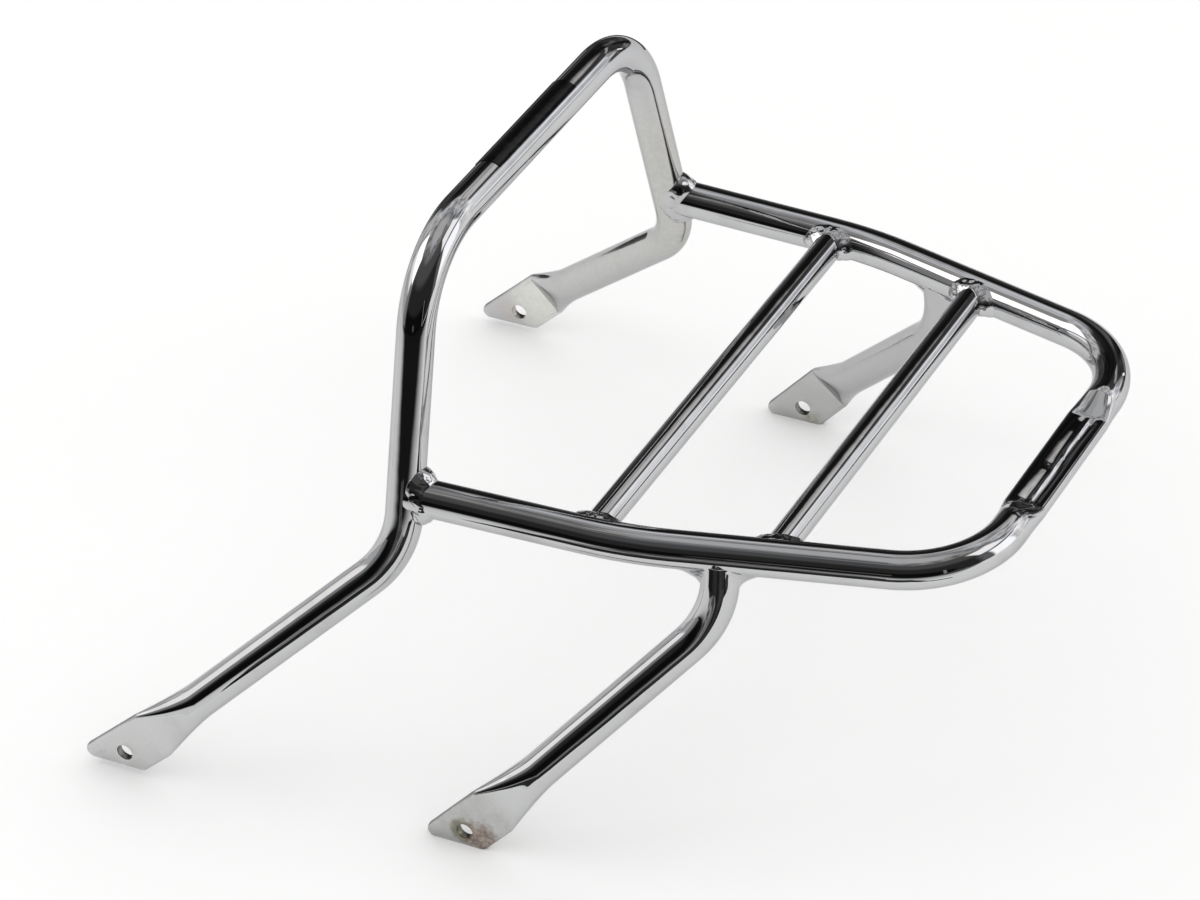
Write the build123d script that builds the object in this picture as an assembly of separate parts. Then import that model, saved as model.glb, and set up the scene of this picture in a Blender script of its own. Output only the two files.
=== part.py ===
"""Chromed steel-tube luggage rack for a motorcycle.

A tall hoop of one bent tube carries the front bolt feet at its ends. A U-shaped platform tube is
welded to the hoop's uprights, two thinner cross bars span it, and two bent rear legs hang under it.
The four tube ends are pressed flat and drilled for M8 bolts.

Frame: +X runs to the rear of the motorcycle, +Y to the rider's right, +Z up. The origin lies on the
mid-plane, on the common axis of the two front bolt holes. All sizes are millimetres.
"""

from build123d import *
import os
from math import atan2, cos, degrees, radians, sin, sqrt

# Tube stock
tube_od = 18.0
tube_wall = 2.0
bar_od = 14.0
bend_radius = 50.0  # centre line of every bend, from one bending die

# Bolt holes, seen from the side: the rear ones are measured from the front ones
bolt_hole_d = 8.5  # clearance for M8
rear_holes_back = 175.0
rear_holes_drop = 4.0
front_feet_half = 204.5  # mid-plane to the outer face of a front foot
rear_feet_half = 187.5

# Hoop: its plane and the points where its straight runs would meet
hoop_back = 128.5
hoop_rise = 113.5  # top bar above the platform
hoop_top_half = 105.0
hoop_knee_half = 145.0
hoop_knee_drop = 29.0  # below the platform

# Platform: distances back from the hoop, and half-widths where its straight runs would meet
platform_up = 144.5
shoulder_back = 112.0
shoulder_half = 132.5
rear_bar_back = 266.5
rear_corner_half = 94.0
front_cross_back = 93.5
rear_cross_back = 176.5

# Flat pressed into the top of the rear bar
press_half_length = 37.0
press_ramp = 13.0
press_depth = 6.5
press_half_width = 10.5
press_edge_radius = 2.6
press_set_forward = 0.5  # the pressed middle sits this much before the bar's axis

# Rear legs
leg_back = 154.0  # behind the hoop
leg_knee_half = 126.0
leg_knee_drop = 33.5  # below the platform

# Pressed feet
foot_width = 26.0
fold_to_hole = 22.5
hole_to_end_cut = 8.0
toe_radius = 4.0
fold_offset = 2.0  # the flat lies this much outboard of the leg's axis at the fold
press_start = 28.0  # where the round section begins to change, before the fold
press_lead = 3.0  # the tube begins to widen this much before its flats
fold_land = 1.0  # full flat above the fold
edge_margin = 0.4  # the widening ends this much outside the edges of the flat

# Joints
cope_start = 3.0  # the horns of a coped tube end are cut off this far from its seat's axis
tube_weld = 4.0  # weld leg where a main tube meets another
bar_weld = 2.5  # weld leg at the cross bars
weld_cheek = 0.5  # a bead stands out this much past the sides of its seat

# Label
label_length = 76.0
label_width = 15.0
label_thickness = 0.3
label_edge_angle = 50.0  # lower rear edge, above the horizontal

# Derived sizes
tube_r = tube_od / 2
bar_r = bar_od / 2
foot_thickness = 2 * tube_wall
platform_rear_x = hoop_back + rear_bar_back
hoop_lean = (hoop_knee_half - hoop_top_half) / (hoop_knee_drop + hoop_rise)
platform_front_half = hoop_knee_half - hoop_lean * hoop_knee_drop


def side_half(back):
    """Half-width of the platform's axis at a distance behind the hoop."""
    if back < shoulder_back:
        share = back / shoulder_back
        return platform_front_half + share * (shoulder_half - platform_front_half)
    share = (back - shoulder_back) / (rear_bar_back - shoulder_back)
    return shoulder_half + share * (rear_corner_half - shoulder_half)


def side_dir(back):
    """Direction of the platform's right side tube at a distance behind the hoop."""
    if back < shoulder_back:
        return Vector(shoulder_back, shoulder_half - platform_front_half, 0).normalized()
    run = rear_bar_back - shoulder_back
    return Vector(run, rear_corner_half - shoulder_half, 0).normalized()


def rod(path, radius):
    """Round bar along a path of straight runs and arcs."""
    pieces = []
    for run in path.edges():
        disc = Plane(origin=run @ 0, z_dir=run % 0) * Circle(radius)
        if run.geom_type == GeomType.LINE:
            pieces.append(extrude(disc, amount=run.length))
        else:
            turn = (run % 0).get_angle(run % 1)
            hinge = Axis(run.arc_center, (run % 0).cross(run % 1))
            pieces.append(revolve(disc, axis=hinge, revolution_arc=turn))
    return Part() + pieces


def straight(start, end):
    """Path of one straight run."""
    return Line(start, end)


def section(plane, end_x, end_radius, crown, keel):
    """Closed section of two end arcs, joined by a crown and a keel that are tangent to them.

    The end arcs are centred end_x to either side of the plane's origin. The crown and the keel
    are flat where they are only an end radius away from it.
    """

    def tangent_point(height):
        if end_x == 0:
            return end_radius * sqrt(0.5), end_radius * sqrt(0.5)
        if height == end_radius:
            return end_x, end_radius
        arc_radius = (end_x**2 + height**2 - end_radius**2) / (2 * (height - end_radius))
        rise = arc_radius - height
        reach = sqrt(end_x**2 + rise**2)
        return end_x * (1 + end_radius / reach), end_radius * rise / reach

    upper_x, upper_y = tangent_point(crown)
    lower_x, lower_y = tangent_point(keel)

    def cap(x, y, height):
        if abs(y - height) < 1e-9:
            return Line((-x, y), (x, y))
        return ThreePointArc((-x, y), (0, height), (x, y))

    side_x = end_x + end_radius
    edges = [
        cap(upper_x, upper_y, crown),
        ThreePointArc((upper_x, upper_y), (side_x, 0), (lower_x, -lower_y)),
        cap(lower_x, -lower_y, -keel),
        ThreePointArc((-lower_x, -lower_y), (-side_x, 0), (-upper_x, upper_y)),
    ]
    return plane * make_face(edges)


class PressedFoot:
    """Flattened right-hand tube end whose leg comes down from a knee to a bolt hole."""

    def __init__(self, knee, hole_x, hole_z, outer_half):
        along = Vector(hole_x - knee.X, 0, hole_z - knee.Z)
        run = along.length - fold_to_hole
        self.along = along.normalized()
        self.mid_y = outer_half - foot_thickness / 2
        self.hole = Vector(hole_x, self.mid_y, hole_z)
        self.fold = self.hole - self.along * fold_to_hole
        self.splay = (self.mid_y - fold_offset - knee.Y) / run
        self.leg_dir = Vector(self.along.X, self.splay, self.along.Z).normalized()
        self.across = self.along.cross(Vector(0, 1, 0))

    def axis_point(self, before_fold):
        """Point of the leg's axis, by its distance before the fold along the side view."""
        outboard = -fold_offset - self.splay * before_fold
        return self.fold - self.along * before_fold + Vector(0, outboard, 0)

    def plane(self, origin, normal):
        return Plane(origin=origin, x_dir=self.across, z_dir=normal)

    @property
    def tube_end(self):
        """End of the round tube, where the pressing starts."""
        return self.axis_point(press_start)

    def flat_section(self, plane):
        return plane * SlotOverall(foot_width, foot_thickness)

    def pressing(self):
        """Widening tube between the round section and the fold, squeezed by two sloping flats."""
        rise = self.tube_end - self.fold
        up = rise.normalized()
        fold_plane = self.plane(self.fold, up)
        squeeze = atan2(tube_r - foot_thickness / 2, rise.length - press_lead - fold_land)
        top_plane = self.plane(self.fold + up * fold_land, up)
        reach = rise.length + 2 * press_lead
        wedge = extrude(self.flat_section(top_plane), amount=reach, taper=-degrees(squeeze))
        fold_r = foot_width / 2 + edge_margin
        widening = (fold_r - tube_r) / (rise.length + press_lead)
        bell = fold_plane * Cone(
            bottom_radius=fold_r,
            top_radius=tube_r - widening * press_lead,
            height=reach,
            align=(Align.CENTER, Align.CENTER, Align.MIN),
        )
        land = extrude(self.flat_section(fold_plane), amount=fold_land, both=True)
        return (wedge & bell) + split(land, bisect_by=self.mitre(), keep=Keep.BOTTOM)

    def mitre(self):
        """Plane of the fold, halfway between the pressed leg and the flat."""
        down = (self.fold - self.tube_end).normalized()
        return self.plane(self.fold, (down + self.along).normalized())

    def plate(self):
        """Flat beyond the fold, with a level end cut and a rounded toe."""
        reach = fold_to_hole + foot_width + hole_to_end_cut
        top = self.fold - self.along * fold_land
        strip = extrude(self.flat_section(self.plane(top, self.along)), amount=reach)
        side = Plane(origin=top, x_dir=self.along, z_dir=(0, 1, 0))
        cut_z = self.hole.Z - hole_to_end_cut
        edge_reach = {}
        for edge in (-1, 1):
            start = top + self.across * (edge * foot_width / 2)
            edge_reach[edge] = (cut_z - start.Z) / self.along.Z
        corners = []
        for edge, reach_along in ((-1, 0), (-1, edge_reach[-1]), (1, edge_reach[1]), (1, 0)):
            point = top + self.across * (edge * foot_width / 2) + self.along * reach_along
            corners.append(side.to_local_coords(point))
        outline = make_face(Polyline(*[(c.X, c.Y) for c in corners], close=True))
        toe = max(outline.vertices(), key=lambda v: v.X)
        outline = fillet(toe, toe_radius)
        strip &= extrude(side * outline, amount=foot_thickness / 2, both=True)
        return split(strip, bisect_by=self.mitre(), keep=Keep.TOP)

    def bolt_hole(self):
        axis = Plane(origin=self.hole, z_dir=(0, 1, 0))
        return extrude(axis * Circle(bolt_hole_d / 2), amount=foot_thickness, both=True)


def left_of(shape):
    """Mirror image on the other side of the mid-plane."""
    return mirror(shape, about=Plane.XZ)


# Hoop: half of it is drawn from the middle of the top bar down to the right foot
hoop_top_z = platform_up + hoop_rise
hoop_knee = Vector(hoop_back, hoop_knee_half, platform_up - hoop_knee_drop)
front_foot = PressedFoot(hoop_knee, 0, 0, front_feet_half)
hoop_path = FilletPolyline(
    (hoop_back, 0, hoop_top_z),
    (hoop_back, hoop_top_half, hoop_top_z),
    hoop_knee,
    front_foot.tube_end,
    radius=bend_radius,
)
half_hoop = rod(hoop_path, tube_r) + front_foot.pressing() + front_foot.plate()
half_hoop -= front_foot.bolt_hole()
hoop_tube = half_hoop + left_of(half_hoop)

# Platform: half of it is drawn from the right upright's axis round to the middle of the rear bar
press_end_half = press_half_length + press_ramp
platform_front = Vector(hoop_back, platform_front_half, platform_up)
platform_path = FilletPolyline(
    platform_front + side_dir(0) * cope_start,
    (hoop_back + shoulder_back, shoulder_half, platform_up),
    (platform_rear_x, rear_corner_half, platform_up),
    (platform_rear_x, press_end_half, platform_up),
    radius=bend_radius,
)


def rear_bar_press():
    """Right half of the rear bar's pressed middle."""
    flat_top = tube_r - press_depth
    end_z = platform_up + flat_top - press_edge_radius
    press_x = platform_rear_x - press_set_forward
    keel = tube_r + flat_top - press_edge_radius
    rim = Plane((platform_rear_x, press_end_half, platform_up), x_dir=(1, 0, 0), z_dir=(0, -1, 0))
    flat = Plane((press_x, press_half_length, end_z), x_dir=(1, 0, 0), z_dir=(0, -1, 0))
    end_x = press_half_width - press_edge_radius
    pressed = section(flat, end_x, press_edge_radius, press_edge_radius, keel)
    ramp = loft([section(rim, 0, tube_r, tube_r, tube_r), pressed], ruled=True)
    return ramp + extrude(pressed, amount=press_half_length)


def weld_bead(seat_axis, centre, end_dir, end_r, leg):
    """Bead round a tube end that is welded to a seat tube, trimmed at the seat's sides."""
    foot_of_bead = tube_r - 2 * leg
    profile = Polyline(
        (0, foot_of_bead),
        (end_r + leg, foot_of_bead),
        (end_r + leg, tube_r),
        (end_r - leg, tube_r + 2 * leg),
        (0, tube_r + 2 * leg),
        close=True,
    )
    joint = Plane(origin=centre, x_dir=seat_axis, z_dir=end_dir)
    bead = joint * revolve(Plane.XZ * make_face(profile), axis=Axis.Z)
    trim = Rectangle(2 * (end_r + leg), tube_od + 2 * weld_cheek)
    return bead & extrude(joint * trim, amount=tube_r + 2 * leg)


half_platform = rod(platform_path, tube_r) + rear_bar_press()
upright_dir = Vector(0, platform_front_half - hoop_top_half, -hoop_rise).normalized()
half_platform += weld_bead(upright_dir, platform_front, side_dir(0), tube_r, tube_weld)
half_platform -= rod(hoop_path, tube_r)
platform_tube = half_platform + left_of(half_platform)


def cross_bar(back):
    """Thin tube across the platform, coped and welded to both side tubes."""
    seat = Vector(hoop_back + back, side_half(back), platform_up)
    inward = Vector(0, -1, 0)
    half_bar = rod(straight(seat, seat + inward * seat.Y), bar_r)
    half_bar += weld_bead(side_dir(back), seat, inward, bar_r, bar_weld)
    half_bar -= rod(platform_path, tube_r)
    return half_bar + left_of(half_bar)


front_cross_bar = cross_bar(front_cross_back)
rear_cross_bar = cross_bar(rear_cross_back)

# Rear legs: the right one is drawn, coped and welded under the side tube
leg_top = Vector(hoop_back + leg_back, side_half(leg_back), platform_up)
leg_knee = Vector(hoop_back + leg_back, leg_knee_half, platform_up - leg_knee_drop)
rear_foot = PressedFoot(leg_knee, rear_holes_back, -rear_holes_drop, rear_feet_half)
leg_dir = (leg_knee - leg_top).normalized()
leg_start = leg_top + leg_dir * cope_start
leg_path = FilletPolyline(leg_start, leg_knee, rear_foot.tube_end, radius=bend_radius)
right_rear_leg = rod(leg_path, tube_r) + rear_foot.pressing() + rear_foot.plate()
right_rear_leg += weld_bead(side_dir(leg_back), leg_top, leg_dir, tube_r, tube_weld)
right_rear_leg -= rod(platform_path, tube_r)
right_rear_leg -= rear_foot.bolt_hole()


def label():
    """Thin strip bent round the upper front of the hoop's top bar."""
    span = label_width / tube_r
    first = radians(label_edge_angle)
    outer_r = tube_r + label_thickness

    def at(radius, share):
        angle = first + span * share
        return radius * cos(angle), radius * sin(angle)

    outline = make_face(
        [
            ThreePointArc(at(outer_r, 0), at(outer_r, 0.5), at(outer_r, 1)),
            Line(at(outer_r, 1), at(tube_r, 1)),
            ThreePointArc(at(tube_r, 1), at(tube_r, 0.5), at(tube_r, 0)),
            Line(at(tube_r, 0), at(outer_r, 0)),
        ]
    )
    bar = Plane((hoop_back, 0, hoop_top_z), x_dir=(1, 0, 0), z_dir=(0, -1, 0))
    return extrude(bar * outline, amount=label_length / 2, both=True)


nodes = {
    "hoop_tube": hoop_tube,
    "platform_tube": platform_tube,
    "front_cross_bar": front_cross_bar,
    "rear_cross_bar": rear_cross_bar,
    "right_rear_leg": right_rear_leg,
    "left_rear_leg": left_of(right_rear_leg),
    "label_strip": label(),
}

os.makedirs("parts", exist_ok=True)
for name, piece in nodes.items():
    export_step(piece, f"parts/{name}.step")
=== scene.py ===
from math import acos, copysign, cos, pi, radians, sin, sqrt, tan

import bmesh
import bpy
from mathutils import Matrix, Vector, noise


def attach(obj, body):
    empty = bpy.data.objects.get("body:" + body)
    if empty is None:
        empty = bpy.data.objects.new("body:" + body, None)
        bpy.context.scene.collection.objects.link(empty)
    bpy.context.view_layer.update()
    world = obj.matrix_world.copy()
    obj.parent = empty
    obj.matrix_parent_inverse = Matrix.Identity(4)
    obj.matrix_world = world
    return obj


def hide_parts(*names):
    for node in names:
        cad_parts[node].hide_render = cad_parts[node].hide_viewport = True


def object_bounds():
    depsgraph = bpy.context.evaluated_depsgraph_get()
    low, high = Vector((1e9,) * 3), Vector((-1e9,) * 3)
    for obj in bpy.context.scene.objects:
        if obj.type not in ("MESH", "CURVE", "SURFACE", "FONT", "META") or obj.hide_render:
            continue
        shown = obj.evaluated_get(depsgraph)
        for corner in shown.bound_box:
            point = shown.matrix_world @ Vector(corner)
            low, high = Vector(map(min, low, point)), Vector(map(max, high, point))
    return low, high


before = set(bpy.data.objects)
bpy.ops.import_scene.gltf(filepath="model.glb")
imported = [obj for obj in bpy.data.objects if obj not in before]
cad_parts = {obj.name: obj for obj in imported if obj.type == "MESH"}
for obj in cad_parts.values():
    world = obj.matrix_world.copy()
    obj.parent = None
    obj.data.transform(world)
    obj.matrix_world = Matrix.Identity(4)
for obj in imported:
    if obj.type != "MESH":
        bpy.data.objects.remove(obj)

cad_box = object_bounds()


# Hoop: one length of 18 mm steel tube, bent on a 50 mm die into a tall loop with both front legs.
# Its ends are pressed flat, folded upright, cut off level and drilled for M8 bolts, and the whole
# rack is polished and chrome plated after welding.
tube_r = 0.009
bend_r = 0.050
ring_count = 96  # points round a tube
run_step = 0.012  # between rings on a straight run
turn_step = radians(2.5)  # between rings on a bend
hoop_x = 0.1285
hoop_top = Vector((hoop_x, 0.105, 0.258))
hoop_knee = Vector((hoop_x, 0.145, 0.1155))
front_hole = Vector((0, 0.2025, 0))

foot_half_width = 0.013
foot_half_thick = 0.002
fold_to_hole = 0.0225
hole_to_end_cut = 0.008
hole_r = 0.00425
hole_sides = 64
bit_length = 0.02
toe_r = 0.004
toe_strokes = 7  # file strokes that round the toe
press_length = 0.028  # from the round tube to the fold
fold_offset = 0.002
fold_land = 0.0007  # half of the small round at the fold
fold_straight = 0.5  # share of the pressed length that runs straight from the fold
press_steps = 22
squeeze_ease = 1.55  # how late the tube's thickness goes
spread_ease = 1.47  # how late its width grows
edge_round = 0.0004
cut_angle = radians(55)  # edges sharper than this were cut, and get that round
crease_angle = radians(38)  # edges sharper than this stay creases
touching = 1e-6
on_plane = 1e-7


def bent_line(corners, radii):
    """Points and directions along a tube that is bent round its corners."""
    line = []

    def add_run(start, end):
        pieces = max(1, round((end - start).length / run_step))
        for i in range(pieces + 1):
            line.append((start.lerp(end, i / pieces), (end - start).normalized()))

    start = corners[0]
    for before, corner, after, radius in zip(corners, corners[1:], corners[2:], radii):
        into = (corner - before).normalized()
        out = (after - corner).normalized()
        turn = into.angle(out)
        hinge = into.cross(out).normalized()
        bend_start = corner - into * (radius * tan(turn / 2))
        centre = bend_start + hinge.cross(into) * radius
        add_run(start, bend_start)
        pieces = max(3, round(turn / turn_step))
        for i in range(1, pieces):
            swing = Matrix.Rotation(turn * i / pieces, 3, hinge)
            line.append((centre + swing @ (bend_start - centre), swing @ into))
        start = corner + out * (radius * tan(turn / 2))
    add_run(start, corners[-1])
    return line


def stadium(half_width, half_thick):
    """Points round a flattened tube, evenly spaced, from the middle of one edge."""
    flat = half_width - half_thick
    bow = pi * half_thick
    length = 2 * bow + 4 * flat
    points = []
    for i in range(ring_count):
        s = length * i / ring_count
        if s < bow / 2:
            turn = s / half_thick
            points.append((flat + half_thick * cos(turn), half_thick * sin(turn)))
        elif s < bow / 2 + 2 * flat:
            points.append((flat - (s - bow / 2), half_thick))
        elif s < 1.5 * bow + 2 * flat:
            turn = pi / 2 + (s - bow / 2 - 2 * flat) / half_thick
            points.append((half_thick * cos(turn) - flat, half_thick * sin(turn)))
        elif s < 1.5 * bow + 4 * flat:
            points.append((s - 1.5 * bow - 2 * flat - flat, -half_thick))
        else:
            turn = 1.5 * pi + (s - 1.5 * bow - 4 * flat) / half_thick
            points.append((flat + half_thick * cos(turn), half_thick * sin(turn)))
    return points


def ring_at(centre, travel, side, outline):
    """One ring of points, square to the travel, with the outline's first axis along side."""
    side = (side - travel * side.dot(travel)).normalized()
    up = travel.cross(side)
    return [centre + side * u + up * v for u, v in outline], side


def tube_rings(line, side, radius=tube_r):
    """Rings of a round tube along its line."""
    outline = stadium(radius, radius)
    rings = []
    for centre, travel in line:
        ring, side = ring_at(centre, travel, side, outline)
        rings.append(ring)
    return rings


class PressedFoot:
    """Flattened tube end on the right, whose leg comes down from a knee to a bolt hole."""

    def __init__(self, knee, hole):
        along = Vector((hole.x - knee.x, 0, hole.z - knee.z))
        run = along.length - fold_to_hole
        self.hole = hole
        self.along = along.normalized()
        self.across = self.along.cross(Vector((0, 1, 0)))
        self.fold = hole - self.along * fold_to_hole
        splay = (hole.y - fold_offset - knee.y) / run
        self.tube_end = self.fold - self.along * press_length
        self.tube_end.y -= fold_offset + splay * press_length

    def rings(self):
        """From past the end cut, up through the fold, to the round tube."""
        up = -self.along
        rings = []
        reach = fold_to_hole + 2 * foot_half_width + hole_to_end_cut
        flat = stadium(foot_half_width, foot_half_thick)
        for s in (reach, 0.75 * reach, 0.5 * reach, 0.25 * reach, fold_land):
            rings.append(ring_at(self.fold + self.along * s, up, self.across, flat)[0])
        offset = Vector((0, fold_offset, 0))
        straight = self.fold - offset  # where the tube's own axis would reach the fold
        rise = self.tube_end - straight
        first = fold_land / rise.length
        fall = 2 / (1 + fold_straight)
        ease = fall / (2 * (1 - fold_straight))
        for i in range(press_steps + 1):
            share = first + (1 - first) * i / press_steps
            pressed = max(0, 1 - share)
            half_thick = tube_r + (foot_half_thick - tube_r) * pressed**squeeze_ease
            half_width = tube_r + (foot_half_width - tube_r) * pressed**spread_ease
            if share < fold_straight:
                travel = rise - offset * fall
                centre = straight + rise * share + offset * (1 - fall * share)
            else:
                travel = rise - offset * (2 * ease * pressed)
                centre = straight + rise * share + offset * (ease * pressed**2)
            section = stadium(half_width, half_thick)
            rings.append(ring_at(centre, travel.normalized(), self.across, section)[0])
        return rings

    def cuts(self):
        """Planes of the level end cut and of the file strokes round the toe: point and normal."""
        cut_z = self.hole.z - hole_to_end_cut
        edge = self.across * (1 if self.across.z > 0 else -1)
        start = self.fold + edge * foot_half_width
        toe = start + self.along * ((cut_z - start.z) / self.along.z)
        down = Vector((0, 0, -1))
        inward = -edge - down
        centre = toe + inward * (toe_r / (1 + edge.dot(down)))
        planes = [(toe, down)]
        stroke = edge.angle(down) / (toe_strokes + 1)
        hinge = down.cross(edge).normalized()
        for i in range(1, toe_strokes + 1):
            normal = Matrix.Rotation(stroke * i, 3, hinge) @ down
            planes.append((centre + normal * (toe_r * cos(stroke / 2)), normal))
        return planes

    def pressed_share(self, point):
        """0 on the round tube, 1 on the flat."""
        depth = (point - self.tube_end).dot(self.along) / press_length
        return min(1, max(0, depth))


def skin(rings):
    """Closed mesh over a row of rings."""
    bm = bmesh.new()
    rows = [[bm.verts.new(point) for point in ring] for ring in rings]
    for row, following in zip(rows, rows[1:]):
        for i in range(len(row)):
            j = (i + 1) % len(row)
            bm.faces.new((row[i], row[j], following[j], following[i]))
    bm.faces.new(reversed(rows[0]))
    bm.faces.new(rows[-1])
    bmesh.ops.recalc_face_normals(bm, faces=bm.faces)
    return bm


def trim_foot(bm, foot):
    """Cuts the flat off level and rounds its toe."""
    for point, normal in foot.cuts():
        near = [f for f in bm.faces if all((v.co - foot.fold).dot(foot.along) > 0 for v in f.verts)]
        parts = set(near)
        for face in near:
            parts.update(face.edges)
            parts.update(face.verts)
        cut = bmesh.ops.bisect_plane(
            bm, geom=list(parts), dist=on_plane, plane_co=point, plane_no=normal, clear_outer=True
        )
        rim = [e for e in cut["geom_cut"] if isinstance(e, bmesh.types.BMEdge) and e.is_boundary]
        bmesh.ops.contextual_create(bm, geom=rim)
    bmesh.ops.remove_doubles(bm, verts=bm.verts, dist=touching)
    bmesh.ops.recalc_face_normals(bm, faces=bm.faces)


def place(name, bm):
    """Puts a finished mesh into the scene as a piece."""
    mesh = bpy.data.meshes.new(name)
    bm.to_mesh(mesh)
    bm.free()
    piece = bpy.data.objects.new(name, mesh)
    bpy.context.scene.collection.objects.link(piece)
    return piece


def rework(piece, step):
    """Takes the mesh of a piece through one more step."""
    bm = bmesh.new()
    bm.from_mesh(piece.data)
    step(bm)
    bm.to_mesh(piece.data)
    bm.free()


def open_middle(bm):
    """Takes the closing face off the mid-plane, so that its rim stays sharp."""
    caps = [f for f in bm.faces if all(abs(v.co.y) < on_plane for v in f.verts)]
    bmesh.ops.delete(bm, geom=caps, context="FACES_ONLY")


def add_left_half(bm):
    """Mirrors an open right half and joins the two."""
    whole = bm.verts[:] + bm.edges[:] + bm.faces[:]
    bmesh.ops.mirror(bm, geom=whole, matrix=Matrix.Identity(4), merge_dist=touching, axis="Y")
    bmesh.ops.recalc_face_normals(bm, faces=bm.faces)


def settle(piece):
    """Replaces a piece's mesh by what its modifiers make of it."""
    bpy.context.view_layer.update()
    shown = piece.evaluated_get(bpy.context.evaluated_depsgraph_get())
    mesh = bpy.data.meshes.new_from_object(shown)
    piece.modifiers.clear()
    piece.data = mesh


def drill(piece, hole):
    """Drills the bolt hole through a flat."""
    bm = bmesh.new()
    turned = Matrix.Translation(hole) @ Matrix.Rotation(radians(90), 4, "X")
    bmesh.ops.create_cone(
        bm, matrix=turned, cap_ends=True, segments=hole_sides,
        radius1=hole_r, radius2=hole_r, depth=bit_length,
    )
    bit = place("bit", bm)
    hole_cut = piece.modifiers.new("hole", "BOOLEAN")
    hole_cut.operation = "DIFFERENCE"
    hole_cut.solver = "EXACT"
    hole_cut.object = bit
    settle(piece)
    bpy.data.objects.remove(bit)


def break_edges(piece):
    """Takes the sharpness off cut edges."""
    broken = piece.modifiers.new("edges", "BEVEL")
    broken.limit_method = "ANGLE"
    broken.angle_limit = cut_angle
    broken.width = edge_round
    broken.segments = 2
    settle(piece)


def smooth(piece):
    """Smooth shading with creases kept."""
    piece.data.shade_smooth()
    piece.data.set_sharp_from_angle(angle=crease_angle)


# The flats' rims get a painted shade: a dark outline standing in for the dark reflection their edges show.
rim_shade_start = 0.75  # how much a point faces sideways where a flat turns into its rim
rim_shade_fade = 0.35


def mark_pressed(piece, foot):
    """Stores on each point how far it is pressed, how much painted shade it gets on a flat's rim, and if it
    faces inside.
    """
    marks = {"pressed": [], "rim": [], "inside": []}
    for v in piece.data.vertices:
        share = foot.pressed_share(Vector((v.co.x, abs(v.co.y), v.co.z)))
        rim_shade_mask = min(1, max(0, (rim_shade_start - abs(v.normal.y)) / rim_shade_fade))
        inward = -v.normal.y if v.co.y > 0 else v.normal.y
        marks["pressed"].append(share)
        # painted shade on the flats' rims, stored as rim
        marks["rim"].append(rim_shade_mask if share == 1 else 0)
        marks["inside"].append(share * max(0, inward))
    for name, values in marks.items():
        piece.data.attributes.new(name, "FLOAT", "POINT").data.foreach_set("value", values)


def put(tree, kind, values=None, **settings):
    """A node with its settings, and its inputs set or linked."""
    made = tree.nodes.new(kind)
    for name, value in settings.items():
        setattr(made, name, value)
    for key, value in (values or {}).items():
        if isinstance(value, bpy.types.NodeSocket):
            tree.links.new(value, made.inputs[key])
        else:
            made.inputs[key].default_value = value
    return made


def on_piece(tree):
    """Place on the piece, in metres."""
    return put(tree, "ShaderNodeTexCoord").outputs["Object"]


def stored(tree, name):
    """Value that was stored on the mesh's points."""
    return put(tree, "ShaderNodeAttribute", attribute_name=name).outputs["Fac"]


def math(tree, operation, a, b=0.0, clamp=False):
    """Result of a sum."""
    return put(tree, "ShaderNodeMath", {0: a, 1: b}, operation=operation, use_clamp=clamp).outputs[0]


def vector_math(tree, operation, a, b=(0, 0, 0), result="Vector"):
    """Result of a sum with vectors."""
    return put(tree, "ShaderNodeVectorMath", {0: a, 1: b}, operation=operation).outputs[result]


def ramp(tree, value, low, high, to_low=0.0, to_high=1.0):
    """Smooth step of a value between two limits."""
    values = {0: value, 1: low, 2: high, 3: to_low, 4: to_high}
    return put(tree, "ShaderNodeMapRange", values, interpolation_type="SMOOTHSTEP").outputs[0]


def blend_colour(tree, share, a, b):
    """Colour between two."""
    return put(tree, "ShaderNodeMix", {0: share, 6: a, 7: b}, data_type="RGBA").outputs[2]


def cloud(tree, at, scale, detail=2.0, roughness=0.5):
    """Soft noise, about 0.5 on average."""
    values = {"Vector": at, "Scale": scale, "Detail": detail, "Roughness": roughness}
    return put(tree, "ShaderNodeTexNoise", values).outputs[0]


def new_group(name, inputs, outputs):
    """Empty node group with its sockets, its input sockets inside and its output sockets inside."""
    tree = bpy.data.node_groups.new(name, "ShaderNodeTree")
    for label, kind in inputs:
        tree.interface.new_socket(label, in_out="INPUT", socket_type=kind)
    for label, kind in outputs:
        tree.interface.new_socket(label, in_out="OUTPUT", socket_type=kind)
    start = tree.nodes.new("NodeGroupInput")
    end = tree.nodes.new("NodeGroupOutput")
    return tree, start.outputs, end.inputs


# Each cloud of the finishes is its scale, detail and roughness, and its range is what shows of it.
haze_cloud = (38.0, 4.0, 0.6)
haze_range = (0.50, 0.80)
pit_scale = 420.0
pit_range = (0.10, 0.22)
pitted_cloud = (40.0, 2.0)
pitted_range = (0.70, 0.80)
wave_cloud = (28.0, 1.0)
ripple_cloud = (95.0, 1.0)
ripple_share = 0.18


def make_plating_wear():
    """Old plating: hazy smudges, fine pits, and the slow waviness of polished tube."""
    tree, given, out = new_group(
        "plating_wear",
        [("At", "NodeSocketVector")],
        [("Haze", "NodeSocketFloat"), ("Pits", "NodeSocketFloat"), ("Waves", "NodeSocketFloat")],
    )
    at = given["At"]
    haze = ramp(tree, cloud(tree, at, *haze_cloud), *haze_range)
    cells = put(tree, "ShaderNodeTexVoronoi", {"Vector": at, "Scale": pit_scale})
    dots = ramp(tree, cells.outputs["Distance"], *pit_range, 1.0, 0.0)
    pitted = ramp(tree, cloud(tree, at, *pitted_cloud), *pitted_range)
    ripple = math(tree, "MULTIPLY", cloud(tree, at, *ripple_cloud), ripple_share)
    tree.links.new(haze, out["Haze"])
    tree.links.new(math(tree, "MULTIPLY", dots, pitted), out["Pits"])
    tree.links.new(math(tree, "ADD", cloud(tree, at, *wave_cloud), ripple), out["Waves"])
    return tree


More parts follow.
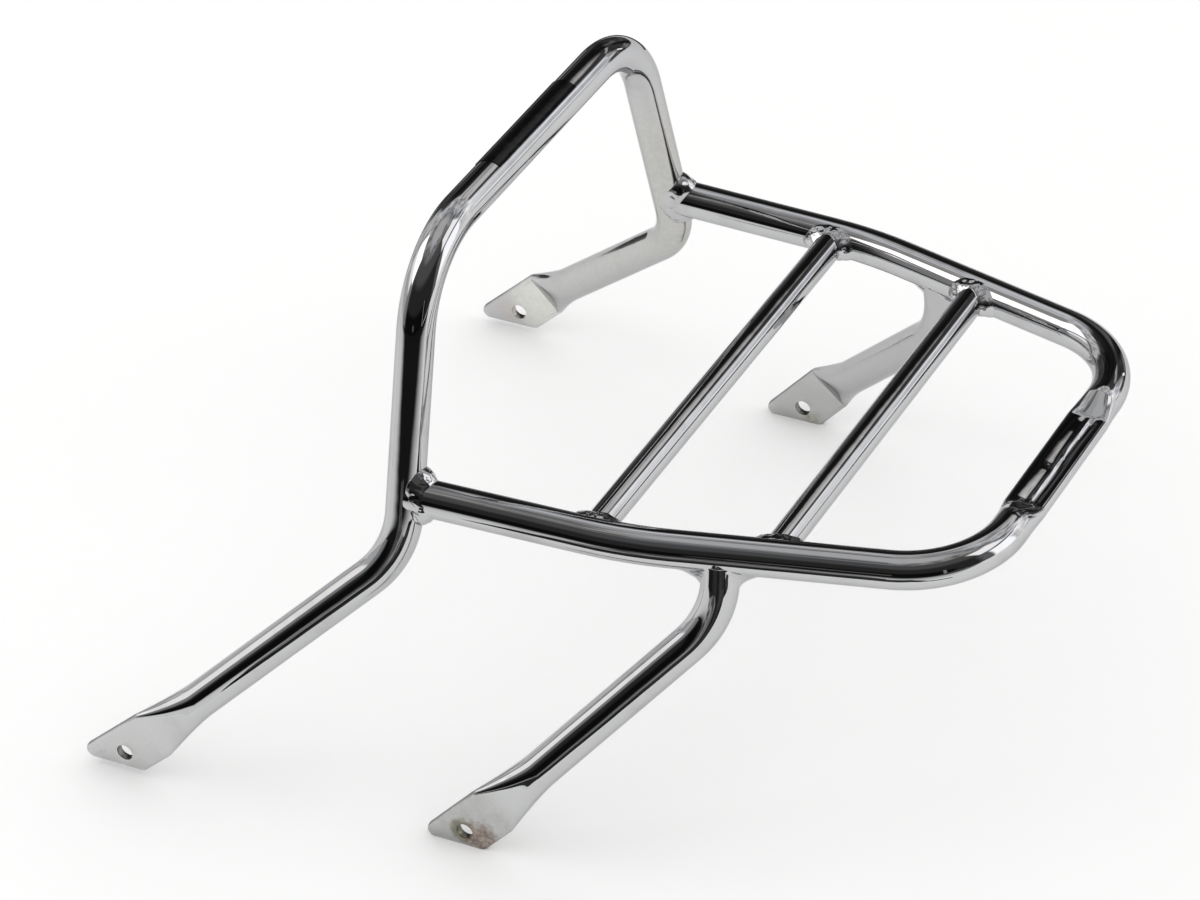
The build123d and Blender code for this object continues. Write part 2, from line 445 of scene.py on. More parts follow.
torn_cloud = (260.0, 5.0, 0.7)
torn_depth = 0.018
ring_torn = 0.4  # share of that depth at the ring
ring_range = (0.0052, 0.0082)  # from the hole's middle
patch_core = 0.35  # share of its reach where it is full
grain_cloud = (430.0, 5.0, 0.7)
grain_range = (0.34, 0.66)


def make_hole_stain():
    """Stain round a bolt hole: a patch to one side, a discoloured ring, and their grain."""
    tree, given, out = new_group(
        "hole_stain",
        [
            ("At", "NodeSocketVector"),
            ("Hole", "NodeSocketVector"),
            ("Patch", "NodeSocketVector"),
            ("Reach", "NodeSocketFloat"),
        ],
        [("Patch", "NodeSocketFloat"), ("Ring", "NodeSocketFloat"), ("Grain", "NodeSocketFloat")],
    )
    at = given["At"]
    torn = math(tree, "SUBTRACT", cloud(tree, at, *torn_cloud), 0.5)
    torn = math(tree, "MULTIPLY", torn, torn_depth)
    from_patch = math(tree, "ADD", vector_math(tree, "DISTANCE", at, given["Patch"], "Value"), torn)
    core = math(tree, "MULTIPLY", given["Reach"], patch_core)
    from_hole = vector_math(tree, "DISTANCE", at, given["Hole"], "Value")
    from_hole = math(tree, "ADD", from_hole, math(tree, "MULTIPLY", torn, ring_torn))
    tree.links.new(ramp(tree, from_patch, core, given["Reach"], 1.0, 0.0), out["Patch"])
    tree.links.new(ramp(tree, from_hole, *ring_range, 1.0, 0.0), out["Ring"])
    tree.links.new(ramp(tree, cloud(tree, at, *grain_cloud), *grain_range), out["Grain"])
    return tree


plating_wear = make_plating_wear()
hole_stain = make_hole_stain()

chrome_colour = (0.560, 0.562, 0.570, 1)
hazed_chrome = (0.475, 0.475, 0.475, 1)
milky_chrome = (0.600, 0.600, 0.600, 1)
# Painted shade: a dark outline on the flats' rims, in place of the dark reflection at their edges.
rim_painted_shade = (0.100, 0.100, 0.105, 1)
pit_colour = (0.10, 0.085, 0.07, 1)
chrome_edge = (0.68, 0.68, 0.69, 1)  # chromium reflects less than other metals at a low angle
milk_range = (0.55, 1.0)  # of how far the tube is pressed
mottle_cloud = (150.0, 4.0, 0.65)
mottle_range = (0.35, 0.70)
mottle_share = 0.5
rim_shade_share = 0.8
polished = 0.03  # roughness of clean chrome, and what the rest adds to it
haze_rough = 0.035
dull_rough = 0.12
milk_rough = 0.26
inside_rough = 0.18
wave_strength = 0.35
wave_depth = 0.0006


def new_finish(name):
    """New material, its node tree and the inputs of its shader."""
    material = bpy.data.materials.new(name)
    material.use_nodes = True
    tree = material.node_tree
    return material, tree, tree.nodes["Principled BSDF"].inputs


def chrome_finish(name, stains=(), dull_and_shade=0.0, milky=milky_chrome):
    """Chrome plate with wear, milky where the steel was pressed, a painted shade on the rims of its flats,
    and stains round bolt holes.

    Its third argument is how much haze the whole piece has at least, which on the right leg is partly
    painted shade, and milky the colour of its flats.
    """
    material, tree, shader = new_finish(name)
    at = on_piece(tree)
    wear = put(tree, "ShaderNodeGroup", {"At": at}, node_tree=plating_wear).outputs
    mottle = ramp(tree, cloud(tree, at, *mottle_cloud), *mottle_range)
    mottle = math(tree, "ADD", math(tree, "MULTIPLY", mottle, mottle_share), 1 - mottle_share)
    milk = math(tree, "MULTIPLY", ramp(tree, stored(tree, "pressed"), *milk_range), mottle)
    # On the right leg this least haze is partly painted shade, darkening the chrome as for the shadowed
    # table it reflects.
    haze = math(tree, "MAXIMUM", wear["Haze"], dull_and_shade)
    # Painted shade: the flats' rims are darkened, standing in for the dark reflection at their edges.
    rim = math(tree, "MULTIPLY", stored(tree, "rim"), rim_shade_share)
    colour = blend_colour(tree, haze, chrome_colour, hazed_chrome)
    colour = blend_colour(tree, milk, colour, milky)
    colour = blend_colour(tree, rim, colour, rim_painted_shade)
    colour = blend_colour(tree, wear["Pits"], colour, pit_colour)
    hazy = haze_rough + dull_rough * dull_and_shade
    rough = math(tree, "ADD", math(tree, "MULTIPLY", haze, hazy), polished)
    rough = math(tree, "ADD", rough, math(tree, "MULTIPLY", milk, milk_rough))
    rough = math(tree, "ADD", rough, math(tree, "MULTIPLY", stored(tree, "inside"), inside_rough))
    metal = 1.0
    for stain in stains:
        spread = {"At": at, "Hole": stain["hole"], "Patch": stain["patch"], "Reach": stain["reach"]}
        marks = put(tree, "ShaderNodeGroup", spread, node_tree=hole_stain).outputs
        ring = math(tree, "MULTIPLY", marks["Ring"], stain["ring_share"])
        spot = math(tree, "MULTIPLY", marks["Patch"], stain["patch_share"])
        grainy = blend_colour(tree, marks["Grain"], stain["light"], stain["dark"])
        colour = blend_colour(tree, ring, colour, stain["ring"])
        colour = blend_colour(tree, spot, colour, grainy)
        rough = math(tree, "ADD", rough, math(tree, "MULTIPLY", spot, stain["rough"]), clamp=True)
        metal = math(tree, "SUBTRACT", metal, math(tree, "MULTIPLY", spot, stain["crust"]), clamp=True)
    waves = {"Strength": wave_strength, "Distance": wave_depth, "Height": wear["Waves"]}
    bump = put(tree, "ShaderNodeBump", waves)
    tree.links.new(colour, shader["Base Color"])
    tree.links.new(rough, shader["Roughness"])
    tree.links.new(bump.outputs["Normal"], shader["Normal"])
    shader["Specular Tint"].default_value = chrome_edge
    if stains:
        tree.links.new(metal, shader["Metallic"])
    else:
        shader["Metallic"].default_value = metal
    return material


yellow_film = (0.62, 0.59, 0.46, 1)
pink_film = (0.56, 0.52, 0.50, 1)
cream_film = (0.81, 0.81, 0.75, 1)
pale_film = (0.75, 0.75, 0.73, 1)
film_light = (0.590, 0.585, 0.560, 1)
film_dark = (0.520, 0.515, 0.490, 1)
# On the left flat, along the right upright and the right leg, and twice on the right flat.
hoop_stains = [
    dict(
        hole=(0, -0.2045, 0), ring=yellow_film, ring_share=0.10,
        patch=(0.006, -0.2045, 0.004), reach=0.0105, light=yellow_film, dark=milky_chrome, patch_share=0.10,
        rough=0.0, crust=0.0,
    ),
    dict(
        hole=(0, 0.2045, 0), ring=yellow_film, ring_share=0.10,
        patch=(hoop_x, 0.130, 0.150), reach=0.095, light=film_light, dark=film_dark, patch_share=0.8,
        rough=0.09, crust=0.0,
    ),
    dict(
        hole=(0, 0.2045, 0), ring=yellow_film, ring_share=0.10,
        patch=(0.070, 0.165, 0.060), reach=0.075, light=film_light, dark=film_dark, patch_share=0.6,
        rough=0.07, crust=0.0,
    ),
    dict(
        hole=(0, 0.2005, 0), ring=pink_film, ring_share=0.25,
        patch=(0.013, 0.2005, 0.008), reach=0.024, light=cream_film, dark=pale_film, patch_share=0.9,
        rough=0.0, crust=0.0,
    ),
    dict(
        hole=(0, 0.2045, 0), ring=yellow_film, ring_share=0.10,
        patch=(-0.006, 0.2005, 0), reach=0.009, light=pink_film, dark=pink_film, patch_share=0.45,
        rough=0.0, crust=0.0,
    ),
]
hoop_chrome = chrome_finish("hoop_chrome", hoop_stains)

front_foot = PressedFoot(hoop_knee, front_hole)
hoop_middle = Vector((hoop_x, 0, hoop_top.z))
hoop_line = bent_line([front_foot.tube_end, hoop_knee, hoop_top, hoop_middle], [bend_r, bend_r])
hoop_bm = skin(front_foot.rings() + tube_rings(hoop_line[1:], front_foot.across))
trim_foot(hoop_bm, front_foot)
hoop = place("hoop", hoop_bm)
drill(hoop, front_hole)
rework(hoop, open_middle)
break_edges(hoop)
rework(hoop, add_left_half)
mark_pressed(hoop, front_foot)
smooth(hoop)
hoop.data.materials.clear()
hoop.data.materials.append(hoop_chrome)
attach(hoop, "root")
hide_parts("hoop_tube")


# Platform: one U of the same tube, its ends coped to the hoop's uprights and welded there.
# The middle of its rear bar is pressed flat on top in a tool with sloping ends, as a seat for a
# bracket, so that it spreads to 21 mm and its top wall sinks in two grooves.
platform_z = 0.1445
platform_start = Vector((hoop_x, 0.13686, platform_z))
shoulder = Vector((0.2405, 0.1325, platform_z))
shoulder_r = 0.20  # this slight bend is made by hand over a longer stretch
rear_corner = Vector((0.395, 0.094, platform_z))
cope_start = 0.003
upward = Vector((0, 0, 1))
leftward = Vector((0, -1, 0))
press_half = 0.037
press_ramp = 0.013
press_top = 0.0025  # above the bar's axis
press_half_width = 0.0105
press_edge_r = 0.0026
press_set_forward = 0.0005
press_corner = 0.0004  # half of the small round at the ends of its ramps
arc_steps = 40  # points on half of the flat, an edge and half of the keel, until they are evened out
ramp_steps = 8
flat_steps = 36
# The sunken top wall: places across the bar, from the front to the rear, with their depth, and
# places along it, from the left to the right, with the share of that depth which the front dent has.
sag_across = [
    (-0.0079, 0.0), (-0.0064, 0.0), (-0.0050, 0.00012), (-0.0036, 0.00042), (-0.0024, 0.00080),
    (-0.0014, 0.00118), (-0.0006, 0.00118), (0.0016, 0.00005), (0.0029, 0.00130), (0.0036, 0.00135),
    (0.0064, 0.00010), (0.0079, 0.0),
]
sag_along = [(-0.037, 1.20), (-0.008, 0.45), (-0.003, 0.95), (0.024, 0.35), (0.037, 0.35)]
sag_ridge = 0.0016
sag_sway = 0.0003  # how far it wanders to the sides
sag_sway_length = 0.047
sag_run_in = 0.004


def press_outline():
    """Pressed section as even points from the middle of its flat: up, and to the front."""
    end_x = press_half_width - press_edge_r
    end_z = press_top - press_edge_r
    keel = tube_r + end_z
    keel_r = (end_x**2 + keel**2 - press_edge_r**2) / (2 * (keel - press_edge_r))
    keel_z = keel_r - tube_r
    drop = Vector((end_x, end_z - keel_z)).normalized()
    half = [(end_x * i / arc_steps, press_top) for i in range(arc_steps)]
    start_turn = pi / 2
    end_turn = -acos(drop.x)
    for i in range(arc_steps):
        turn = start_turn + (end_turn - start_turn) * i / arc_steps
        half.append((end_x + press_edge_r * cos(turn), end_z + press_edge_r * sin(turn)))
    for i in range(arc_steps + 1):
        turn = end_turn + (-pi / 2 - end_turn) * i / arc_steps
        half.append((keel_r * cos(turn), keel_z + keel_r * sin(turn)))
    whole = half + [(-x, z) for x, z in reversed(half[1:-1])]
    whole.append(whole[0])
    lengths = [0]
    for a, b in zip(whole, whole[1:]):
        lengths.append(lengths[-1] + (Vector(b) - Vector(a)).length)
    even = []
    k = 0
    for i in range(ring_count):
        s = lengths[-1] * i / ring_count
        while lengths[k + 1] < s:
            k += 1
        share = (s - lengths[k]) / (lengths[k + 1] - lengths[k])
        point = Vector(whole[k]).lerp(Vector(whole[k + 1]), share)
        even.append((point.y, point.x + press_set_forward))
    return even


def between(knots, place_at):
    """Value of a line through knots."""
    for (start, low), (end, high) in zip(knots, knots[1:]):
        if start <= place_at <= end:
            return low + (high - low) * (place_at - start) / (end - start)
    return 0


def sunk_by(across, y):
    """How deep the pressed top lies below its rim."""
    reach = sag_across[-1][0]
    sway = sag_sway * sin(2 * pi * y / sag_sway_length)
    across += sway * max(0, 1 - (across / reach) ** 2)
    share = between(sag_along, y) if across < sag_ridge else 1
    return share * between(sag_across, across)


def press_rings():
    """Rings of the rear bar's pressed middle, from the right to the left."""
    round_outline = stadium(tube_r, tube_r)
    pressed_outline = press_outline()
    ramp_end = press_half + press_ramp
    right = [ramp_end - press_corner]
    right += [ramp_end - press_ramp * i / ramp_steps for i in range(1, ramp_steps)]
    right += [press_half + press_corner, press_half - press_corner]
    right += [press_half * (1 - i / flat_steps) for i in range(1, flat_steps)]
    rings = []
    for y in right + [0] + [-y for y in reversed(right)]:
        pressed = min(1, (ramp_end - abs(y)) / press_ramp)
        sunk = min(1, max(0, press_half - abs(y)) / sag_run_in)
        outline = []
        for (u, v), (pu, pv) in zip(round_outline, pressed_outline):
            up = u + (pu - u) * pressed
            if pu > press_top - touching:
                up -= sunk * sunk_by(press_set_forward - pv, y)
            outline.append((up, v + (pv - v) * pressed))
        centre = Vector((rear_corner.x, y, platform_z))
        rings.append(ring_at(centre, leftward, upward, outline)[0])
    return rings


side_dir = (shoulder - platform_start).normalized()
press_start = Vector((rear_corner.x, press_half + press_ramp, platform_z))
platform_corners = [platform_start + side_dir * cope_start, shoulder, rear_corner, press_start]
platform_line = bent_line(platform_corners, [shoulder_r, bend_r])
flip = Vector((1, -1, 1))
right_side = tube_rings(platform_line, upward)
left_side = [[point * flip for point in ring] for ring in reversed(right_side)]
platform = place("platform", skin(right_side + press_rings() + left_side))
smooth(platform)
plain_chrome = chrome_finish("frame_chrome")
platform.data.materials.append(plain_chrome)
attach(platform, "root")
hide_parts("platform_tube")


# Cross bars: two straight pieces of 14 mm tube across the platform, coped to its side tubes and
# welded at both ends, level with them.
bar_r = 0.007
front_bar_x = 0.222
rear_bar_x = 0.305
rear_run = (rear_corner - shoulder).normalized()


def side_point(x):
    """Point of the right side tube's axis above x, and the tube's direction there."""
    start, run = (platform_start, side_dir) if x < shoulder.x else (shoulder, rear_run)
    return start + run * ((x - start.x) / run.x), run


def cross_bar(name, node, x):
    """Bar between the side tubes' axes, its ends hidden in them."""
    end = side_point(x)[0]
    line = [(Vector((x, y, platform_z)), leftward) for y in (end.y, end.y / 2, 0)]
    bm = skin(tube_rings(line, upward, bar_r))
    open_middle(bm)
    add_left_half(bm)
    bar = place(name, bm)
    smooth(bar)
    bar.data.materials.append(plain_chrome)
    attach(bar, "root")
    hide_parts(node)


cross_bar("front_bar", "front_cross_bar", front_bar_x)
cross_bar("rear_bar", "rear_cross_bar", rear_bar_x)


# Rear legs: a short bent piece of the main tube each side, welded under the platform and pressed
# at the lower end like the front ones. Rust has come through the chrome on the left foot.
leg_x = 0.2825
leg_knee = Vector((leg_x, 0.126, 0.111))
rear_hole = Vector((0.175, 0.1855, -0.004))
rust_light = (0.36, 0.295, 0.250, 1)
rust_dark = (0.14, 0.105, 0.088, 1)
olive_film = (0.20, 0.19, 0.135, 1)
left_flat = (0.46, 0.46, 0.445, 1)
left_dull = 0.0
right_flat = (0.57, 0.57, 0.56, 1)
# Partly haze and partly painted shade: it darkens the right leg's chrome as if it reflected the table
# shadowed under the platform.
right_haze_and_shade = 0.5
left_leg_stains = [
    dict(
        hole=(0.1745, -0.1875, -0.0038), ring=olive_film, ring_share=0.85,
        patch=(0.1836, -0.1875, -0.0056), reach=0.0125, light=rust_light, dark=rust_dark, patch_share=0.95,
        rough=0.35, crust=0.8,
    ),
]
right_leg_stains = [
    dict(
        hole=(0.175, 0.1835, -0.004), ring=yellow_film, ring_share=0.10,
        patch=(0.180, 0.1835, -0.0115), reach=0.007, light=yellow_film, dark=olive_film, patch_share=0.45,
        rough=0.0, crust=0.0,
    ),
]
leg_top, leg_seat = side_point(leg_x)
leg_dir = (leg_knee - leg_top).normalized()
rear_foot = PressedFoot(leg_knee, rear_hole)


def turn_left(bm):
    """Makes a left piece of a right one."""
    bmesh.ops.transform(bm, matrix=Matrix.Scale(-1, 4, (0, 1, 0)), verts=bm.verts)
    bmesh.ops.reverse_faces(bm, faces=bm.faces)


def rear_leg(name, node, left, stains, dull_and_shade, milky):
    """Leg from its foot up into the platform tube."""
    line = bent_line([rear_foot.tube_end, leg_knee, leg_top + leg_dir * cope_start], [bend_r])
    end, up = line[-1]
    line.insert(-1, (end - up * 2 * edge_round, up))  # keeps the end's round out of the shading
    bm = skin(rear_foot.rings() + tube_rings(line[1:], rear_foot.across))
    trim_foot(bm, rear_foot)
    leg = place(name, bm)
    drill(leg, rear_hole)
    break_edges(leg)
    if left:
        rework(leg, turn_left)
    mark_pressed(leg, rear_foot)
    smooth(leg)
    leg.data.materials.clear()
    leg.data.materials.append(chrome_finish(name + "_chrome", stains, dull_and_shade, milky))
    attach(leg, "root")
    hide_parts(node)


rear_leg("right_leg", "right_rear_leg", False, right_leg_stains, right_haze_and_shade, right_flat)
rear_leg("left_leg", "left_rear_leg", True, left_leg_stains, left_dull, left_flat)


# Welds: one steel bead round each tube end, laid by hand, ground little and plated with the rest,
# so that its lumps and crumbs show under the chrome.
bead_turns = 180  # points round a joint
bead_steps = 14  # points across the bead
lobe_size = 0.0030
lobe_height = 0.00045
crumb_size = 0.0011
crumb_height = 0.00014
bead_sink = 0.0002  # its edges lie this far under the tubes' skins
bead_root = 0.0015  # and its root this far
lean_back = 0.35  # how much its leg on the main tube leans away from the tube end
uneven_share = 0.22  # how much its legs vary round a joint
uneven_turns = 1.7
uneven_joints = 700  # sets each joint apart
flank_power = 8  # how soon the legs shorten towards the bead's sides
flank_run = 0.4  # share of the leg on the main tube that its sides have besides
draw_back = 1.1  # legs by which a shifted bead leaves the main tube
platform_form = dict(
    seat_leg=0.0058, tube_leg=0.0062, flank=1.0, fill=0.9, crown=0.0009, lumpy=1.0, shift=0.9
)
leg_form = dict(seat_leg=0.0120, tube_leg=0.0085, flank=0.25, fill=0.5, crown=0.0, lumpy=0.6, shift=0.0)
bar_form = dict(seat_leg=0.0070, tube_leg=0.0044, flank=1.0, fill=0.9, crown=0.0007, lumpy=1.2, shift=0.0)


def bead(bm, centre, seat_axis, end_dir, end_r, seat_leg, tube_leg, flank, fill, crown, lumpy, shift):
    """Adds the bead where a tube end of that radius stands on a main tube.

    Its legs are how far it reaches along either tube, and flank the share of them at its sides.
    It is a hollow fillet where fill is 0 and a flat one where fill is 1, raised in its middle by
    the crown and more or less lumpy. Shift is how much it lies on the tube end instead of the main
    tube on the side away from the mid-plane.
    """
    side = (seat_axis - end_dir * seat_axis.dot(end_dir)).normalized()
    cheek = end_dir.cross(side)

    def off_axis(point):
        arm = point - centre
        return arm - seat_axis * arm.dot(seat_axis)

    rows = []
    for i in range(bead_turns):
        turn = 2 * pi * i / bead_turns
        radial = side * cos(turn) + cheek * sin(turn)
        beside = off_axis(centre + radial * end_r)
        run = off_axis(centre + end_dir)
        half = beside.dot(run)
        under = half**2 - run.length_squared * (beside.length_squared - tube_r**2)
        meets = (sqrt(max(0, under)) - half) / run.length_squared
        corner = centre + radial * end_r + end_dir * meets
        seat_normal = off_axis(corner).normalized()
        away = radial - end_dir * lean_back
        away = (away - seat_normal * away.dot(seat_normal)).normalized()
        uneven = uneven_share * noise.noise(centre * uneven_joints + radial * uneven_turns)
        facing = abs(cos(turn))
        spread = flank + (1 - flank) * facing**flank_power
        outer = shift * max(0, radial.y * copysign(1, centre.y)) ** 2
        rise = tube_leg * spread * (1 + uneven) * (1 + outer)
        run_out = seat_leg * spread * (flank_run + (1 - flank_run) * facing) * (1 - uneven)
        run_out -= seat_leg * draw_back * outer
        on_tube = corner + end_dir * rise - radial * bead_sink
        on_main = corner + away * run_out
        skin_gap = off_axis(on_main)
        on_main += skin_gap.normalized() * (tube_r - bead_sink) - skin_gap
        out = (radial + seat_normal).normalized()
        middle = corner.lerp((on_tube + on_main) / 2, fill) + out * 2 * crown
        row = [corner - (radial + seat_normal) * bead_root]
        for k in range(bead_steps):
            s = k / (bead_steps - 1)
            point = on_tube * (1 - s) ** 2 + middle * (2 * s * (1 - s)) + on_main * s**2
            rough = lobe_height * noise.noise(point / lobe_size)
            rough += crumb_height * noise.noise(point / crumb_size)
            row.append(point + out * (rough * 4 * s * (1 - s) * lumpy))
        rows.append([bm.verts.new(p) for p in row])
    for row, following in zip(rows, rows[1:] + rows[:1]):
        for k in range(len(row)):
            j = (k + 1) % len(row)
            bm.faces.new((row[k], row[j], following[j], following[k]))


def weld(name, joints, form):
    """One piece of the beads of like joints, on both sides."""
    bm = bmesh.new()
    for centre, seat_axis, end_dir, end_r in joints:
        bead(bm, centre, seat_axis, end_dir, end_r, **form)
        bead(bm, centre * flip, seat_axis * flip, end_dir * flip, end_r, **form)
    bmesh.ops.recalc_face_normals(bm, faces=bm.faces)
    beads = place(name, bm)
    beads.data.shade_smooth()
    beads.data.materials.append(plain_chrome)
    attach(beads, "root")


upright = (hoop_knee - hoop_top).normalized()
bar_joints = [(*side_point(x), leftward, bar_r) for x in (front_bar_x, rear_bar_x)]
weld("platform_welds", [(platform_start, upright, side_dir, tube_r)], platform_form)
weld("leg_welds", [(leg_top, leg_seat, leg_dir, tube_r)], leg_form)
weld("bar_welds", bar_joints, bar_form)


# Label: a thin plastic strip stuck round the front of the hoop's top bar, black and glossy.
# It is left plain. The solid has the right shape, so it only gets its finish here.
label_black = (0.003, 0.003, 0.0035, 1)
label_dusty = (0.006, 0.006, 0.006, 1)
label_shine = 0.3
label_rough = 0.10
dust_cloud = (120.0, 5.0, 0.7)
dust_range = (0.45, 0.75)
dust_rough = 0.14
film_cloud = (160.0, 2.0)
film_strength = 0.2
film_depth = 0.0003


def label_finish():
    """Glossy plastic film with some dust, not quite even."""
    material, tree, shader = new_finish("label_gloss")
    at = on_piece(tree)
    dust = ramp(tree, cloud(tree, at, *dust_cloud), *dust_range)
    rough = math(tree, "ADD", math(tree, "MULTIPLY", dust, dust_rough), label_rough)
    uneven = {"Strength": film_strength, "Distance": film_depth, "Height": cloud(tree, at, *film_cloud)}
    film = put(tree, "ShaderNodeBump", uneven)
    tree.links.new(blend_colour(tree, dust, label_black, label_dusty), shader["Base Color"])
    tree.links.new(rough, shader["Roughness"])
    tree.links.new(film.outputs["Normal"], shader["Normal"])
    shader["Specular IOR Level"].default_value = label_shine
    return material


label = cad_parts["label_strip"]
label_gloss = label_finish()
for place_in in label.material_slots:
    place_in.material = label_gloss


# Studio: a white table, a softbox to each side, black cloth on the camera's side and across the
# room, and grey card overhead. Only polished metal sees the cloth and the cards.
floor_z = cad_box[0][2]
middle_x = 0.2
floor_half = 5.0
table_white = (0.945, 0.945, 0.94, 1)
table_shade = (0.925, 0.925, 0.92, 1)
table_cloud = (3.0, 3.0)
table_rough = 0.9
table_shine = 0.1


def floor_finish():
    """Matt white table top."""
    material, tree, shader = new_finish("table_top")
    colour = blend_colour(tree, cloud(tree, on_piece(tree), *table_cloud), table_white, table_shade)
    tree.links.new(colour, shader["Base Color"])
    shader["Roughness"].default_value = table_rough
    shader["Specular IOR Level"].default_value = table_shine
    return material


floor_bm = bmesh.new()
bmesh.ops.create_grid(floor_bm, x_segments=4, y_segments=4, size=floor_half)
floor = place("table", floor_bm)
floor.location = (middle_x, 0, floor_z)
floor.data.materials.append(floor_finish())

room_r = 4.0
room_steps = 24
room_centre = Vector((middle_x, 0, 0.13))
overhead_grey = 0.30
cool_light = (0.97, 0.99, 1.03, 1)
warm_light = (1.04, 1.00, 0.96, 1)
tint_cloud = (3.0, 2.0)
tint_range = (0.35, 0.65)
clutter_scale = (7, 7, 15)  # lower than it is wide
clutter_cloud = (1.0, 3.0, 0.6)
clutter_range = (0.30, 0.70)
clutter_light = (0.45, 1.75)  # times a card's own brightness
# Walls, cloths and cards of the room: middle azimuth, half its width, lowest and highest elevation,
# softness, all in degrees, and how bright it is. Each covers the ones before it.
cluttered_cards = [
    (105, 62, -60, 64, 8, 0.52),
    (168, 18, -60, 58, 10, 0.58),
    (86, 26, -60, 40.5, 3, 0.045),
    (129, 20, -60, 46, 6, 0.045),
    (98, 12, 30, 42, 3, 0.020),
    (112, 22, 18, 43, 8, 0.014),
    (138, 14, -10, 22, 10, 0.07),
    (98, 7, 2, 29, 6, 0.10),
    (88, 5, -5, 22, 5, 0.016),
    (77, 6, -10, 7, 4, 0.20),
    (58, 8, 8, 30, 8, 0.45),
    (44, 15, -60, 36, 9, 0.95),
    (57, 6, -14, 9.5, 4, 0.10),
]
even_cards = [
    (-65, 72, -60, 62, 14, 0.10),
    (-65, 64, -60, 38, 12, 0.030),
    (-78, 50, -60, 14, 7, 0.006),
    (-163, 18, -60, 15, 7, 0.62),
    (-142, 8, -60, 30, 8, 0.30),
    (2, 7, -60, 30, 8, 0.16),
    (0, 180, 74, 120, 10, 0.62),
    (-165, 17, 15, 28, 5, 1.30),
    (-160, 21, 28, 53, 3, 2.40),
    (19, 12, -60, 28, 4, 1.70),
    (16, 16, 34, 54, 4, 1.45),
    (28, 12, 29, 33, 2, 0.15),
    (68, 1.2, 4, 12, 1, 1.60),
    (79, 9, 29.5, 33.5, 2, 0.50),
    (133, 2, -6, 3, 2, 0.60),
    (-36, 1.2, -3, 16, 1, 0.30),
    (-82, 4, 1, 6, 2, 0.12),
]


def glowing(name):
    """Material that only gives off light, its node tree and the inputs of its lamp."""
    material = bpy.data.materials.new(name)
    material.use_nodes = True
    tree = material.node_tree
    tree.nodes.remove(tree.nodes["Principled BSDF"])
    lamp = put(tree, "ShaderNodeEmission")
    tree.links.new(lamp.outputs[0], tree.nodes["Material Output"].inputs["Surface"])
    return material, tree, lamp.inputs


def room_finish():
    """Walls with all their cards, by the direction in which they are seen from the rack."""
    material, tree, lamp = glowing("studio_room")
    out = vector_math(tree, "NORMALIZE", on_piece(tree))
    height = math(tree, "ARCSINE", put(tree, "ShaderNodeSeparateXYZ", {0: out}).outputs["Z"])
    level = vector_math(tree, "NORMALIZE", vector_math(tree, "MULTIPLY", out, (1, 1, 0)))

    def cover(glow, azimuth, half, low, high, soft, bright):
        fade = radians(soft) / 2
        middle = (cos(radians(azimuth)), sin(radians(azimuth)), 0)
        off = math(tree, "ARCCOSINE", vector_math(tree, "DOT_PRODUCT", level, middle, "Value"))
        inside = ramp(tree, off, radians(half) - fade, radians(half) + fade, 1.0, 0.0)
        over = ramp(tree, height, radians(low) - fade, radians(low) + fade)
        under = ramp(tree, height, radians(high) - fade, radians(high) + fade, 1.0, 0.0)
        share = math(tree, "MULTIPLY", inside, math(tree, "MULTIPLY", over, under))
        return put(tree, "ShaderNodeMix", {0: share, 2: glow, 3: bright}, data_type="FLOAT").outputs[0]

    glow = overhead_grey
    for card in cluttered_cards:
        glow = cover(glow, *card)
    clutter = cloud(tree, vector_math(tree, "MULTIPLY", out, clutter_scale), *clutter_cloud)
    glow = math(tree, "MULTIPLY", glow, ramp(tree, clutter, *clutter_range, *clutter_light))
    for card in even_cards:
        glow = cover(glow, *card)
    tint = ramp(tree, cloud(tree, out, *tint_cloud), *tint_range)
    tree.links.new(blend_colour(tree, tint, cool_light, warm_light), lamp["Color"])
    tree.links.new(glow, lamp["Strength"])
    return material


def only_in_reflections(piece):
    """Hides a piece of the studio from all but polished metal."""
    piece.visible_camera = False
    piece.visible_diffuse = False
    piece.visible_shadow = False


room_bm = bmesh.new()
bmesh.ops.create_uvsphere(room_bm, u_segments=2 * room_steps, v_segments=room_steps, radius=room_r)
room = place("room", room_bm)
room.location = room_centre
room.data.materials.append(room_finish())
only_in_reflections(room)

# The table's front, which the light leaves, and the mats and cloths on it: middle, half-sizes, turn
# in degrees, height above the table, dark and light.
mats = [
    ("front_mat", 0.310, -0.395, 0.24, 0.085, 0, 0.001, 0.010, 0.05),
    ("middle_mat", 0.23, -0.6425, 0.17, 0.1625, 0, 0.001, 0.08, 0.42),
    ("dark_mat", 0.24, -1.20, 0.16, 0.395, 0, 0.001, 0.03, 0.16),
    ("strap", 0.49, -0.31, 0.142, 0.018, 51, 0.0015, 0.02, 0.07),
    ("back_floor", -1.594, 1.974, 2.0, 0.50, 135, 0.001, 0.03, 0.12),
]
mat_cloud = (9.0, 3.0, 0.6)
mat_range = (0.36, 0.62)
front_edge = -0.30
front_depth = 4.0
front_half = 3.0
front_height = 0.0005
front_lean = 0.35  # the light leaves the right side sooner
front_range = (0.35, 1.40)  # where the light starts to leave it, and where it has left
front_light = (0.92, 0.012)


def mat_finish(name, dark, light):
    """Cloudy cloth."""
    material, tree, lamp = glowing(name)
    mottle = cloud(tree, on_piece(tree), *mat_cloud)
    tree.links.new(ramp(tree, mottle, *mat_range, dark, light), lamp["Strength"])
    return material


def front_finish():
    """Table top that darkens towards the camera."""
    material, tree, lamp = glowing("table_front")
    at = put(tree, "ShaderNodeSeparateXYZ", {0: on_piece(tree)}).outputs
    out = math(tree, "SUBTRACT", math(tree, "MULTIPLY", at["X"], front_lean), at["Y"])
    tree.links.new(ramp(tree, out, *front_range, *front_light), lamp["Strength"])
    return material


